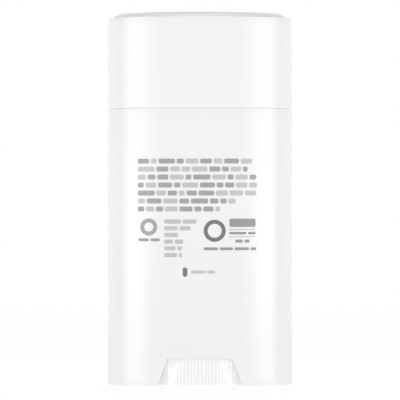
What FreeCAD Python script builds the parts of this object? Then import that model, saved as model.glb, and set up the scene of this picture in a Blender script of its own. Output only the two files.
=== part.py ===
import FreeCAD, Part
import math
import os

from FreeCAD import Vector

os.makedirs("parts", exist_ok=True)

# A twist-up stick in millimetres: +Z up, the origin at the centre of the foot, the back face
# towards -Y. Everything is drawn closed and fully wound down.

# The oval outline that the barrel and the cap share, made of four tangent arcs
WIDTH = 61.0                # side to side, along X
DEPTH = 34.5                # face to face, along Y
END_RADIUS = 11.5           # the small arcs at the two sides

# The barrel
BARREL_HEIGHT = 91.5        # foot to the shoulder that the cap closes on
NECK_HEIGHT = 8.5           # shoulder to the mouth
NECK_WALL = 0.85
NECK_CHAMFER = 0.3          # lead-in round the mouth
FLOOR_HEIGHT = 10.8         # foot to the underside of the floor above the wheel
FLOOR_THICKNESS = 2.0
SKIRT_WALL = 1.9            # the wall below the floor
FOOT_ROUND = 0.5            # outer edge of the foot
SEAM_ROUND = 0.2            # the two edges that meet at the seam
BEAD_LENGTH = 16.0          # grip beads on the neck's two faces
BEAD_HEIGHT = 1.0
BEAD_RISE = 0.1
BEAD_ABOVE_SHOULDER = 3.0
RIB_THICKNESS = 1.2         # cross ribs in the skirt, at the two sides of the wheel
RIB_PITCH = 5.0
RIB_COUNT = 2
RIB_FOOT_SETBACK = 1.0
RIB_WELL_GAP = 2.4          # wheel well to the first rib

# The trapezoid cut-outs in the skirt's two faces
CUTOUT_HEIGHT = 9.44
CUTOUT_TOP_WIDTH = 21.3
CUTOUT_FOOT_WIDTH = 28.8
CUTOUT_ROUND = 1.0

# The cap
CAP_WALL = 1.1
CAP_CLEARANCE = 0.15        # cap to neck
CAP_LAND_HEIGHT = 30.0      # shoulder to the flat land round the crown
CAP_EDGE_ROUND = 0.3
CROWN_LAND = 1.25           # width of the land
CROWN_RISE = 2.1            # land to the top of the crown
CROWN_SLOPE = 33.0          # degrees, of the bevel round the crown
CROWN_BLEND = 5.0           # radius between the bevel and the dome
CROWN_RADIUS_X = 550.0
CROWN_RADIUS_Y = 150.0
CAP_RIB_THICKNESS = 0.9     # ribs inside the cap that stop short of the seal cover
CAP_RIB_DEPTH = 1.8
CAP_RIB_SPACING = 16.0
CAP_RIB_COUNT = 3
CAP_RIB_GAP = 0.3

# The seal cover, a thin lid that plugs the mouth under the cap
SEAL_FLANGE = 0.9
SEAL_SETBACK = 0.2          # flange edge to the outside of the neck
SEAL_DEPTH = 3.5            # how far the plug reaches into the mouth
SEAL_WALL = 0.9
SEAL_SKIN = 0.8
SEAL_CLEARANCE = 0.12       # plug to bore
TAB_WIDTH = 14.0
TAB_HEIGHT = 4.0
TAB_THICKNESS = 1.2
TAB_CORNER = 1.5
TAB_ROOT = 2.0              # how far the tab runs down into the dome

# The deodorant bar
BAR_CLEARANCE = 0.12        # bar to bore
BAR_DOME_RISE = 3.5         # mouth to the top of the bar
BAR_DOME_RADIUS_X = 89.0
BAR_DOME_RADIUS_Y = 25.0
BAR_SEAL_GAP = 0.2
BAR_CORE_GAP = 0.3          # core hole to the screw's crests and tip

# The platform that carries the bar
PLATFORM_HEIGHT = 40.0      # foot to the platform's face when wound down
PLATFORM_CLEARANCE = 0.2    # platform to bore
PLATE_THICKNESS = 1.4
PLATFORM_SKIRT_DEPTH = 13.0
PLATFORM_SKIRT_WALL = 1.0
PLATFORM_STOP = 2.0         # mouth to the platform's face when wound up
BOSS_WALL = 2.2
WEB_THICKNESS = 1.0
WEB_DEPTH = 9.0
ANCHOR_LENGTH = 34.0        # ribs on the face that key into the bar
ANCHOR_THICKNESS = 1.2
ANCHOR_HEIGHT = 4.0
ANCHOR_SPACING = 13.0

# The hand wheel and its screw, one moulding
WHEEL_RADIUS = 15.9
WHEEL_RISE = 0.3            # foot plane to the underside of the wheel
WHEEL_FLOOR_GAP = 0.6
WELL_CLEARANCE = 0.4        # wheel to the round well in the skirt
WHEEL_RIB_COUNT = 86
WHEEL_RIB_DEPTH = 0.35
WHEEL_BEVEL = 0.4
WHEEL_RIM = 1.8
WHEEL_WEB = 1.8
WHEEL_RECESS_DEPTH = 0.6
WHEEL_RECESS_MARGIN = 3.4   # wheel edge to the recess in its underside
SPOKE_COUNT = 6
SPOKE_THICKNESS = 1.2
SPOKE_HEIGHT = 5.0
JOURNAL_RADIUS = 3.9
JOURNAL_CLEARANCE = 0.06    # running fit in the floor
SNAP_RISE = 0.7             # snap ring above the floor
SNAP_HEIGHT = 1.8
SNAP_PLAY = 0.1
SCREW_CORE = 2.5
SCREW_CREST = 3.6
SCREW_LEAD = 4.0
SCREW_START = 16.6          # foot to the first thread's centre
SCREW_TIP = 1.5
RIDGE_ROOT_WIDTH = 1.9
RIDGE_CREST_WIDTH = 0.9
RIDGE_SINK = 0.3            # how far a thread runs into the body that carries it
NUT_TURNS = 1.0
NUT_CLEARANCE = 0.25
NUT_LEDGE = 0.4             # end of the boss to the nut thread

# What follows from them
MARGIN = 1.0                # overshoot of a cutter past the face that it cuts
NECK_INSET = CAP_WALL + CAP_CLEARANCE
BORE_INSET = NECK_INSET + NECK_WALL
MOUTH_Z = BARREL_HEIGHT + NECK_HEIGHT
FLOOR_TOP_Z = FLOOR_HEIGHT + FLOOR_THICKNESS
WELL_RADIUS = WHEEL_RADIUS + WELL_CLEARANCE
CAP_LAND_Z = BARREL_HEIGHT + CAP_LAND_HEIGHT
SEAL_TOP_Z = MOUTH_Z + SEAL_FLANGE
PLUG_INSET = BORE_INSET + SEAL_CLEARANCE
BAR_TOP_Z = MOUTH_Z + BAR_DOME_RISE
DOME_TOP_Z = BAR_TOP_Z + BAR_SEAL_GAP + SEAL_SKIN
PLATFORM_INSET = BORE_INSET + PLATFORM_CLEARANCE
TRAVEL = MOUTH_Z - PLATFORM_STOP - PLATFORM_HEIGHT
BOSS_BORE = SCREW_CREST + NUT_CLEARANCE
NUT_START_Z = SCREW_START + SCREW_LEAD / 2
NUT_ROOT_WIDTH = SCREW_LEAD - RIDGE_CREST_WIDTH - 2 * NUT_CLEARANCE
BOSS_FOOT_Z = NUT_START_Z - NUT_ROOT_WIDTH / 2 - NUT_LEDGE
SCREW_TURNS = NUT_TURNS + 1 + TRAVEL / SCREW_LEAD
SCREW_TOP_Z = SCREW_START + SCREW_TURNS * SCREW_LEAD + RIDGE_ROOT_WIDTH / 2 + SCREW_TIP


def oval_wire(inset, z):
    """The outline moved inwards by inset: its arcs keep their centres, so every wall is even."""
    half_width, half_depth = WIDTH / 2, DEPTH / 2
    end_x = half_width - END_RADIUS
    face_y = (end_x ** 2 - (half_depth - END_RADIUS) ** 2) / (2 * (half_depth - END_RADIUS))
    reach = math.hypot(end_x, face_y)
    x = end_x + (END_RADIUS - inset) * end_x / reach
    y = (END_RADIUS - inset) * face_y / reach
    side, face = half_width - inset, half_depth - inset
    points = [(x, y), (0, face), (-x, y), (-side, 0), (-x, -y), (0, -face), (x, -y), (side, 0), (x, y)]
    knots = [Vector(px, py, z) for px, py in points]
    arcs = [Part.Arc(knots[i], knots[i + 1], knots[i + 2]).toShape() for i in (0, 2, 4, 6)]
    return Part.Wire(arcs)


def oval_prism(inset, bottom, top):
    return Part.Face(oval_wire(inset, bottom)).extrude(Vector(0, 0, top - bottom))


def oval_taper(inset, bottom, top_inset, top):
    return Part.makeLoft([oval_wire(inset, bottom), oval_wire(top_inset, top)], True, True)


def centred_box(x, y, bottom, top, middle_x=0.0, middle_y=0.0):
    return Part.makeBox(x, y, top - bottom, Vector(middle_x - x / 2, middle_y - y / 2, bottom))


def cylinder(radius, bottom, top):
    return Part.makeCylinder(radius, top - bottom, Vector(0, 0, bottom))


def bulge(top, radius_x, radius_y):
    """Everything under a surface curved by radius_x along X and by radius_y along Y."""
    reach = WIDTH / 2 + MARGIN
    drop = radius_x - math.sqrt(radius_x ** 2 - reach ** 2)
    axis_z = top - radius_y
    corners = [Vector(-reach, 0, axis_z), Vector(-reach, 0, top - drop),
               Vector(reach, 0, top - drop), Vector(reach, 0, axis_z)]
    arc = Part.Arc(corners[1], Vector(0, 0, top), corners[2]).toShape()
    sides = [Part.makeLine(corners[i], corners[j]) for i, j in ((0, 1), (2, 3), (3, 0))]
    face = Part.Face(Part.Wire([sides[0], arc, sides[1], sides[2]]))
    return face.revolve(Vector(0, 0, axis_z), Vector(1, 0, 0), 360)


def edges_at(shape, z):
    """The level edges of a shape at one height."""
    def is_level(edge):
        box = edge.BoundBox
        return abs(box.ZMin - z) < 1e-3 and abs(box.ZMax - z) < 1e-3
    return [edge for edge in shape.Edges if is_level(edge)]


def crown_edges(shape, land_z):
    """The edges between the bevel and the dome: they lie wholly above the land."""
    return [edge for edge in shape.Edges
            if edge.BoundBox.ZMin > land_z + CROWN_RISE / 2]


def cap_form(inset, bottom, drop):
    """The closed form of the cap moved inwards: a straight wall, the land, the bevel, the dome."""
    land_z = CAP_LAND_Z - drop
    height = CROWN_RISE + MARGIN
    run = height / math.tan(math.radians(CROWN_SLOPE))
    bevel = oval_taper(inset + CROWN_LAND, land_z, inset + CROWN_LAND + run, land_z + height)
    crown = bevel.common(bulge(land_z + CROWN_RISE, CROWN_RADIUS_X, CROWN_RADIUS_Y))
    crown = crown.makeFillet(CROWN_BLEND, crown_edges(crown, land_z))
    return oval_prism(inset, bottom, land_z), crown


def cap_ribs():
    """Short upright ribs under the crown, on both faces, that stop just above the seal cover."""
    first = -CAP_RIB_SPACING * (CAP_RIB_COUNT - 1) / 2
    foot = SEAL_TOP_Z + CAP_RIB_GAP
    ribs = [centred_box(CAP_RIB_THICKNESS, DEPTH, foot, CAP_LAND_Z - CAP_WALL / 2,
                        first + i * CAP_RIB_SPACING) for i in range(CAP_RIB_COUNT)]
    inner = oval_prism(CAP_WALL + CAP_RIB_DEPTH, foot - MARGIN, CAP_LAND_Z)
    return Part.makeCompound(ribs).cut(inner).common(oval_prism(CAP_WALL / 2, foot, CAP_LAND_Z))


def cap():
    wall, crown = cap_form(0, BARREL_HEIGHT, 0)
    wall = wall.makeFillet(SEAM_ROUND, edges_at(wall, BARREL_HEIGHT))
    wall = wall.makeFillet(CAP_EDGE_ROUND, edges_at(wall, CAP_LAND_Z))
    inner_wall, inner_crown = cap_form(CAP_WALL, BARREL_HEIGHT - MARGIN, CAP_WALL)
    return wall.fuse(crown).cut(inner_wall.fuse(inner_crown)).fuse(cap_ribs())


def cutout():
    """One trapezoid through both faces of the skirt, its upper corners rounded."""
    slope = (CUTOUT_FOOT_WIDTH - CUTOUT_TOP_WIDTH) / 2 / CUTOUT_HEIGHT
    half_top, half_foot = CUTOUT_TOP_WIDTH / 2, CUTOUT_FOOT_WIDTH / 2 + slope * MARGIN
    corners = [Vector(-half_foot, -DEPTH, -MARGIN), Vector(-half_top, -DEPTH, CUTOUT_HEIGHT),
               Vector(half_top, -DEPTH, CUTOUT_HEIGHT), Vector(half_foot, -DEPTH, -MARGIN)]
    block = Part.Face(Part.makePolygon(corners + corners[:1])).extrude(Vector(0, 2 * DEPTH, 0))
    upper = [edge for edge in block.Edges if edge.BoundBox.ZMin > CUTOUT_HEIGHT - 1e-3
             and edge.BoundBox.YLength > DEPTH]
    return block.makeFillet(CUTOUT_ROUND, upper)


def skirt_hollow():
    """The open space below the floor: the round wheel well, and the ribbed ends beside it."""
    ends = oval_prism(SKIRT_WALL, -MARGIN, FLOOR_HEIGHT)
    for side in (-1, 1):
        for i in range(RIB_COUNT):
            x = side * (WELL_RADIUS + RIB_WELL_GAP + RIB_THICKNESS / 2 + i * RIB_PITCH)
            ends = ends.cut(centred_box(RIB_THICKNESS, DEPTH, RIB_FOOT_SETBACK, FLOOR_HEIGHT, x))
    return ends.fuse(cylinder(WELL_RADIUS, -MARGIN, FLOOR_HEIGHT))


def neck():
    """The neck with its chamfered mouth, and a low grip bead on each face."""
    core = oval_prism(NECK_INSET, FLOOR_TOP_Z, MOUTH_Z)
    core = core.makeChamfer(NECK_CHAMFER, edges_at(core, MOUTH_Z))
    bottom = BARREL_HEIGHT + BEAD_ABOVE_SHOULDER
    band = oval_prism(NECK_INSET - BEAD_RISE, bottom, bottom + BEAD_HEIGHT)
    return core.fuse(band.common(centred_box(BEAD_LENGTH, DEPTH, bottom, bottom + BEAD_HEIGHT)))


def barrel():
    body = oval_prism(0, 0, BARREL_HEIGHT)
    body = body.makeFillet(FOOT_ROUND, edges_at(body, 0))
    body = body.makeFillet(SEAM_ROUND, edges_at(body, BARREL_HEIGHT))
    body = body.fuse(neck())
    body = body.cut(oval_prism(BORE_INSET, FLOOR_TOP_Z, MOUTH_Z + MARGIN))
    body = body.cut(skirt_hollow()).cut(cutout())
    return body.cut(cylinder(JOURNAL_RADIUS + JOURNAL_CLEARANCE, 0, FLOOR_TOP_Z + MARGIN))


def pull_tab():
    """An upright tab with rounded upper corners, rooted in the seal cover's dome."""
    tab = centred_box(TAB_WIDTH, TAB_THICKNESS, DOME_TOP_Z - TAB_ROOT, DOME_TOP_Z + TAB_HEIGHT)
    corners = [edge for edge in tab.Edges if edge.BoundBox.ZMin > DOME_TOP_Z + TAB_HEIGHT - 1e-3
               and edge.BoundBox.YLength > TAB_THICKNESS / 2]
    return tab.makeFillet(TAB_CORNER, corners)


def seal_cover():
    plug_foot = MOUTH_Z - SEAL_DEPTH
    lid = oval_prism(NECK_INSET + SEAL_SETBACK, MOUTH_Z, SEAL_TOP_Z)
    plug = oval_prism(PLUG_INSET, plug_foot, MOUTH_Z + MARGIN / 2)
    dome = oval_prism(PLUG_INSET + SEAL_WALL, plug_foot, DOME_TOP_Z + MARGIN)
    dome = dome.common(bulge(DOME_TOP_Z, BAR_DOME_RADIUS_X, BAR_DOME_RADIUS_Y))
    hollow = oval_prism(PLUG_INSET + SEAL_WALL, plug_foot - MARGIN, DOME_TOP_Z)
    hollow = hollow.common(bulge(DOME_TOP_Z - SEAL_SKIN, BAR_DOME_RADIUS_X, BAR_DOME_RADIUS_Y))
    return lid.fuse(plug).fuse(dome).fuse(pull_tab()).cut(hollow)


def anchor_ribs():
    """Two long ribs and two short ones on the platform's face, clear of the screw."""
    top = PLATFORM_HEIGHT + ANCHOR_HEIGHT
    ribs = []
    for side in (-1, 1):
        y = side * ANCHOR_SPACING / 2
        ribs.append(centred_box(ANCHOR_LENGTH, ANCHOR_THICKNESS, PLATFORM_HEIGHT, top, 0, y))
        x = side * (ANCHOR_LENGTH - ANCHOR_THICKNESS) / 2
        ribs.append(centred_box(ANCHOR_THICKNESS, ANCHOR_SPACING, PLATFORM_HEIGHT, top, x))
    return ribs[0].fuse(ribs[1:])


def deodorant_bar():
    step_z = MOUTH_Z - SEAL_DEPTH - BAR_SEAL_GAP
    head = oval_prism(PLUG_INSET + SEAL_WALL + BAR_SEAL_GAP, PLATFORM_HEIGHT, BAR_TOP_Z + MARGIN)
    head = head.common(bulge(BAR_TOP_Z, BAR_DOME_RADIUS_X, BAR_DOME_RADIUS_Y))
    bar = oval_prism(BORE_INSET + BAR_CLEARANCE, PLATFORM_HEIGHT, step_z).fuse(head)
    core = cylinder(SCREW_CREST + BAR_CORE_GAP, PLATFORM_HEIGHT - MARGIN, SCREW_TOP_Z + BAR_CORE_GAP)
    return bar.cut(core).cut(anchor_ribs())


def thread_ridge(start_z, turns, root, crest, root_width, crest_width):
    """A right-hand ridge of trapezoid section that stands on the radius root and ends at crest."""
    side = math.copysign(1, crest - root)
    slope = (root_width - crest_width) / 2 / abs(crest - root)
    sunk, half = root - side * RIDGE_SINK, root_width / 2 + slope * RIDGE_SINK
    corners = [Vector(sunk, 0, -half), Vector(crest, 0, -crest_width / 2),
               Vector(crest, 0, crest_width / 2), Vector(sunk, 0, half)]
    section = Part.makePolygon(corners + corners[:1])
    path = Part.Wire(Part.makeHelix(SCREW_LEAD, turns * SCREW_LEAD, root))
    ridge = path.makePipeShell([section], True, True)
    return ridge.translated(Vector(0, 0, start_z))


def nut_thread():
    """The ridge inside the boss: it fills the groove between two threads, less the clearance."""
    crest = SCREW_CORE + NUT_CLEARANCE
    taper = (RIDGE_ROOT_WIDTH - RIDGE_CREST_WIDTH) / (SCREW_CREST - SCREW_CORE)
    thread_width = RIDGE_CREST_WIDTH + taper * (SCREW_CREST - crest)
    crest_width = SCREW_LEAD - thread_width - 2 * NUT_CLEARANCE
    return thread_ridge(NUT_START_Z, NUT_TURNS, BOSS_BORE, crest, NUT_ROOT_WIDTH, crest_width)


def platform_webs():
    """Four webs under the plate that tie the boss to the skirt."""
    top = PLATFORM_HEIGHT - PLATE_THICKNESS / 2
    bottom = PLATFORM_HEIGHT - PLATE_THICKNESS - WEB_DEPTH
    cross = centred_box(WIDTH, WEB_THICKNESS, bottom, top).fuse(
        centred_box(WEB_THICKNESS, DEPTH, bottom, top))
    return cross.common(oval_prism(PLATFORM_INSET + PLATFORM_SKIRT_WALL / 2, bottom, top))


def platform():
    under = PLATFORM_HEIGHT - PLATE_THICKNESS
    cup = oval_prism(PLATFORM_INSET, PLATFORM_HEIGHT - PLATFORM_SKIRT_DEPTH, PLATFORM_HEIGHT)
    cup = cup.cut(oval_prism(PLATFORM_INSET + PLATFORM_SKIRT_WALL,
                             PLATFORM_HEIGHT - PLATFORM_SKIRT_DEPTH - MARGIN, under))
    boss = cylinder(BOSS_BORE + BOSS_WALL, BOSS_FOOT_Z, PLATFORM_HEIGHT)
    body = cup.fuse(boss).fuse(platform_webs()).fuse(anchor_ribs())
    body = body.cut(cylinder(BOSS_BORE, BOSS_FOOT_Z - MARGIN, PLATFORM_HEIGHT + MARGIN))
    return body.fuse(nut_thread())


def ribbed_disc():
    """The wheel's outside: upright grip ribs, bevelled at the top and bottom edges."""
    bottom, top = WHEEL_RISE, FLOOR_HEIGHT - WHEEL_FLOOR_GAP
    step = 2 * math.pi / WHEEL_RIB_COUNT
    corners = []
    for i in range(WHEEL_RIB_COUNT):
        for share, radius in ((0.0, WHEEL_RADIUS - WHEEL_RIB_DEPTH), (0.3, WHEEL_RADIUS),
                              (0.7, WHEEL_RADIUS)):
            angle = (i + share) * step
            corners.append(Vector(radius * math.cos(angle), radius * math.sin(angle), bottom))
    star = Part.Face(Part.makePolygon(corners + corners[:1])).extrude(Vector(0, 0, top - bottom))
    blank = cylinder(WHEEL_RADIUS + WHEEL_RIB_DEPTH, bottom, top)
    bevel = WHEEL_BEVEL + WHEEL_RIB_DEPTH
    return star.common(blank.makeChamfer(bevel, edges_at(blank, bottom) + edges_at(blank, top)))


def wheel():
    """A shallow cup, open upwards: ribbed rim, web, spokes, and a recess in the underside."""
    bottom, top = WHEEL_RISE, FLOOR_HEIGHT - WHEEL_FLOOR_GAP
    inner_radius = WHEEL_RADIUS - WHEEL_RIB_DEPTH - WHEEL_RIM
    web_top = bottom + WHEEL_RECESS_DEPTH + WHEEL_WEB
    body = ribbed_disc().cut(cylinder(inner_radius, web_top, top + MARGIN))
    body = body.cut(cylinder(WHEEL_RADIUS - WHEEL_RECESS_MARGIN, 0, bottom + WHEEL_RECESS_DEPTH))
    spoke = Part.makeBox(inner_radius + WHEEL_RIM / 2, SPOKE_THICKNESS, SPOKE_HEIGHT + WHEEL_WEB / 2,
                         Vector(0, -SPOKE_THICKNESS / 2, web_top - WHEEL_WEB / 2))
    spokes = [spoke.rotated(Vector(0, 0, 0), Vector(0, 0, 1), 360.0 * i / SPOKE_COUNT)
              for i in range(SPOKE_COUNT)]
    return body.fuse(spokes)


def screw():
    """The stem: journal through the floor, snap ring above it, then the threaded spindle."""
    ring_foot = FLOOR_TOP_Z + SNAP_PLAY
    ring_top = ring_foot + SNAP_HEIGHT
    journal = cylinder(JOURNAL_RADIUS, WHEEL_RISE + WHEEL_RECESS_DEPTH, ring_foot)
    ring = Part.makeCone(JOURNAL_RADIUS + SNAP_RISE, SCREW_CORE, ring_top - ring_foot,
                         Vector(0, 0, ring_foot))
    core = cylinder(SCREW_CORE, ring_foot, SCREW_TOP_Z)
    core = core.makeChamfer(SCREW_CORE / 2, edges_at(core, SCREW_TOP_Z))
    thread = thread_ridge(SCREW_START, SCREW_TURNS, SCREW_CORE, SCREW_CREST,
                          RIDGE_ROOT_WIDTH, RIDGE_CREST_WIDTH)
    return journal.fuse(ring).fuse(core).fuse(thread)


def hand_wheel():
    return wheel().fuse(screw())


PIECES = {
    "barrel": barrel,
    "hand_wheel": hand_wheel,
    "platform": platform,
    "deodorant_bar": deodorant_bar,
    "seal_cover": seal_cover,
    "cap": cap,
}

for name, make in PIECES.items():
    shape = make()
    if shape.ShapeType == "Compound" and len(shape.Solids) == 1:
        shape = shape.Solids[0]
    shape.exportStep("parts/" + name + ".step")
    box = shape.BoundBox
    print(name, shape.ShapeType, "valid" if shape.isValid() else "INVALID", round(shape.Volume, 1),
          [round(v, 2) for v in (box.XMin, box.XMax, box.YMin, box.YMax, box.ZMin, box.ZMax)])
print("travel", TRAVEL, "turns", TRAVEL / SCREW_LEAD)
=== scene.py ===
import math

import bmesh
import bpy
import numpy as np
from bpy.props import FloatProperty, FloatVectorProperty, IntProperty, PointerProperty
from bpy.types import Operator, Panel, PropertyGroup
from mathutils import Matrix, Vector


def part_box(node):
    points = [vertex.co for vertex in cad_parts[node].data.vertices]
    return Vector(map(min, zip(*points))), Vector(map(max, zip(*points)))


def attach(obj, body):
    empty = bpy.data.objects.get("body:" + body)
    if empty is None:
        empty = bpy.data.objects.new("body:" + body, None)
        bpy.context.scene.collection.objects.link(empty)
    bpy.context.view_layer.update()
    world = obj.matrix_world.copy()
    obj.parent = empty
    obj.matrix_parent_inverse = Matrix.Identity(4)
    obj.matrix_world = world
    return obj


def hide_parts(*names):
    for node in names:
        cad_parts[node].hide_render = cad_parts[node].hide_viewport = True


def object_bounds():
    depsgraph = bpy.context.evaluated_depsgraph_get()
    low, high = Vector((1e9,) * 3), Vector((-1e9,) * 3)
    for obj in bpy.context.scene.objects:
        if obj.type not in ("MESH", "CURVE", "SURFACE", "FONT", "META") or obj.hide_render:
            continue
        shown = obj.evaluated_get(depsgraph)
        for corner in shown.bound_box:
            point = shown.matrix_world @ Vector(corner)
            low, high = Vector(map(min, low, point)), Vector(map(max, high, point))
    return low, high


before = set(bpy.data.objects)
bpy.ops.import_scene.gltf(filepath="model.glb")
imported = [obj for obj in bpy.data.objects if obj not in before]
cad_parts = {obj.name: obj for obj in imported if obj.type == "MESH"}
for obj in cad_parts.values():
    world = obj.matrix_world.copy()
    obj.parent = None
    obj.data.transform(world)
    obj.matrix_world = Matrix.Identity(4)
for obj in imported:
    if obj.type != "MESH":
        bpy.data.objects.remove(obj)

bl_info = {
    "name": "Twist-up Stick",
    "version": (1, 0, 0),
    "blender": (4, 5, 0),
    "location": "3D View > Sidebar > Stick",
    "description": "Dresses an oval twist-up stick: shells, wheel, bar, lid, pad print and a plain studio",
    "category": "Object",
}

CAD_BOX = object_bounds()
LOW, HIGH = 0, 1            # the two corners of a node's box
MM = 0.001
WELD = 1e-6                 # vertices closer than this are one
SHARP = math.radians(28)    # edges that turn more than this stay crisp


def length(title, text, value):
    """A size in metres, shown in the scene's own unit."""
    return FloatProperty(name=title, description=text, default=value, unit="LENGTH", precision=5)


def colour(title, text, value):
    """A colour without its alpha."""
    return FloatVectorProperty(name=title, description=text, default=value, size=3, subtype="COLOR",
                               min=0.0, max=1.0)


def factor(title, text, value, low=0.0, high=1.0):
    """A plain number between two limits."""
    return FloatProperty(name=title, description=text, default=value, min=low, max=high, subtype="FACTOR")


class StickForm(PropertyGroup):
    """Sizes of the shells and of what they hold, in metres."""
    width: length("Width", "Side to side across the oval", CAD_BOX[1].x - CAD_BOX[0].x)
    depth: length("Depth", "Face to face through the oval", CAD_BOX[1].y - CAD_BOX[0].y)
    end_radius: length("End radius", "Radius of the two small arcs of the oval", 11.5 * MM)
    seam: length("Seam height", "Foot to the shoulder that the cap closes on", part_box("cap")[LOW].z)
    mouth: length("Mouth height", "Foot to the rim of the neck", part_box("barrel")[HIGH].z)
    top: length("Top", "Foot to the top of the crown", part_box("cap")[HIGH].z)
    foot_round: length("Foot rounding", "Radius of the foot's outer edge", 0.5 * MM)
    seam_round: length("Seam rounding", "Radius of the two edges at the seam", 0.2 * MM)
    cap_wall: length("Cap wall", "Thickness of the cap", 1.1 * MM)
    neck_inset: length("Neck inset", "Outline to the outside of the neck", 1.25 * MM)
    bore_inset: length("Bore inset", "Outline to the bore", 2.1 * MM)
    skirt_wall: length("Skirt wall", "Wall below the floor", 1.9 * MM)
    floor_low: length("Floor underside", "Foot to the underside of the floor", 10.8 * MM)
    floor_high: length("Floor top", "Foot to the top of the floor", 12.8 * MM)
    land: length("Crown land", "Width of the flat land round the crown", 1.25 * MM)
    crown_rise: length("Crown rise", "Land to the top of the crown", 2.1 * MM)
    crown_slope: FloatProperty(name="Crown slope", description="Slope of the bevel round the crown",
                               default=math.radians(33), subtype="ANGLE")
    crown_x: length("Crown radius X", "Radius of the crown's dome along X", 550 * MM)
    crown_y: length("Crown radius Y", "Radius of the crown's dome along Y", 150 * MM)
    crown_blend: length("Crown blend", "Softness of the turn from the bevel to the dome", 0.7 * MM)
    cap_edge: length("Cap edge", "Radius of the cap's upper edge", 0.3 * MM)
    cut_height: length("Cut-out height", "Foot to the top of the base cut-outs", 9.44 * MM)
    cut_top: length("Cut-out top", "Width of the cut-outs at their top", 21.3 * MM)
    cut_foot: length("Cut-out foot", "Width of the cut-outs at the foot", 28.8 * MM)
    cut_round: length("Cut-out rounding", "Radius of the cut-outs' upper corners", 1.0 * MM)


class StickInner(PropertyGroup):
    """Sizes of the wheel, the lid and the bar, in metres."""
    wheel_radius: length("Wheel radius", "Over the grip ribs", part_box("hand_wheel")[HIGH].x)
    wheel_low: length("Wheel underside", "Foot to the underside of the wheel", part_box("hand_wheel")[LOW].z)
    wheel_high: length("Wheel top", "Foot to the top of the wheel's rim", 10.2 * MM)
    wheel_rim: length("Wheel rim", "Thickness of the ribbed rim", 1.8 * MM)
    wheel_web: length("Wheel web", "Wheel's underside to the top of its web", 2.4 * MM)
    recess_margin: length("Recess margin", "Wheel's edge to the recess in its underside", 3.4 * MM)
    recess_depth: length("Recess depth", "Depth of the recess in the underside", 0.6 * MM)
    wheel_ribs: IntProperty(name="Grip ribs", description="Upright ribs round the wheel", default=86, min=12)
    rib_depth: length("Rib depth", "Depth of the grooves between the grip ribs", 0.35 * MM)
    well_clearance: length("Well clearance", "Wheel to the round well in the skirt", 0.4 * MM)
    journal: length("Journal", "Radius of the stem in the floor", 3.9 * MM)
    screw_core: length("Screw core", "Radius under the threads", 2.5 * MM)
    screw_crest: length("Screw crest", "Radius over the threads", 3.6 * MM)
    screw_lead: length("Screw lead", "Rise of the thread in one turn", 4.0 * MM)
    screw_top: length("Screw top", "Foot to the tip of the screw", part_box("hand_wheel")[HIGH].z)
    dome_x: length("Dome radius X", "Radius of the bar's dome along X", 89.0 * MM)
    dome_y: length("Dome radius Y", "Radius of the bar's dome along Y", 25.0 * MM)
    bar_top: length("Bar top", "Foot to the top of the bar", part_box("deodorant_bar")[HIGH].z)
    bar_low: length("Bar underside", "Foot to the platform's face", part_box("deodorant_bar")[LOW].z)
    lid_skin: length("Lid skin", "Thickness of the seal cover's dome", 0.8 * MM)
    lid_gap: length("Lid gap", "Bar to the seal cover", 0.2 * MM)
    lid_flange: length("Lid flange", "Thickness of the flange on the rim", 0.9 * MM)
    lid_depth: length("Plug depth", "How far the lid reaches into the mouth", 3.5 * MM)


class StickFinish(PropertyGroup):
    """Colours and gloss of the mouldings, the bar and the print."""
    shell: colour("Shell", "White of the barrel and the cap", (0.86, 0.86, 0.86))
    # Partly the wheel's own white and partly painted light: it is set lighter than the shell's white so that
    # the wheel brightens in the shaded cut-out round it.
    wheel: colour("Wheel", "White of the hand wheel", (0.93, 0.93, 0.93))
    lid: colour("Lid", "White of the seal cover", (0.80, 0.82, 0.83))
    wax: colour("Bar", "Off-white of the solid bar", (0.84, 0.83, 0.78))
    platform: colour("Platform", "Natural white of the platform", (0.78, 0.78, 0.75))
    ink: colour("Ink", "Grey of the pad print", (0.13, 0.13, 0.135))
    shell_gloss: factor("Shell roughness", "Roughness of the polished shells", 0.16)
    wheel_gloss: factor("Wheel roughness", "Roughness of the wheel", 0.2)


class StickStage(PropertyGroup):
    """Camera, lamps and surroundings."""
    camera_distance: length("Camera distance", "Object to the camera", 1020 * MM)
    camera_height: length("Camera height", "Floor to the camera", 61.26 * MM)
    focal: FloatProperty(name="Focal length", description="Lens in millimetres", default=276.3, min=1.0)
    key_level: factor("Side lamps", "Radiance of the two tall side lamps", 3.2, 0.0, 50.0)
    top_level: factor("Top lamp", "Radiance of the lamp overhead", 2.5, 0.0, 50.0)
    corner_level: factor("Corner lamps", "Level of the two narrow beams beside the wheel", 0.24, 0.0, 50.0)
    front_level: factor("Front ambient", "Level of the surroundings on the camera's side", 0.15, 0.0, 4.0)
    back_level: factor("Back ambient", "Level of the surroundings behind the object", 0.85, 0.0, 4.0)
    floor_glow: factor("Under-light", "Level of the light that the floor gives the object", 1.0, 0.0, 4.0)
    floor_look: factor("Floor look", "Level of the floor's own light where a camera sees it", 0.62, 0.0, 4.0)


def sizes():
    """The sizes of the shells, and of what they hold."""
    return bpy.context.scene.stick_form, bpy.context.scene.stick_inner


# Surfaces


def arc(inset, z, radius, start, end, count):
    """A quarter or less of a circle in the plane of inset and height: the centre plus the radius along
    each angle."""
    angle = np.radians(np.linspace(start, end, count))
    return np.stack([inset + radius * np.cos(angle), z + radius * np.sin(angle)], axis=1)


def straight(start, end, count):
    """Evenly spaced points from start to end, both included."""
    share = np.linspace(0.0, 1.0, count)[:, None]
    return np.asarray(start) + share * (np.asarray(end) - np.asarray(start))


def placed_points(x, y, z):
    """Points (x, y, z) from numbers or arrays that fit each other."""
    return np.stack(np.broadcast_arrays(x, y, z), axis=-1)


def turned(radius, angle, z):
    """Points at a radius and an angle about the upright axis."""
    return placed_points(radius * np.cos(angle), radius * np.sin(angle), z)


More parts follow.
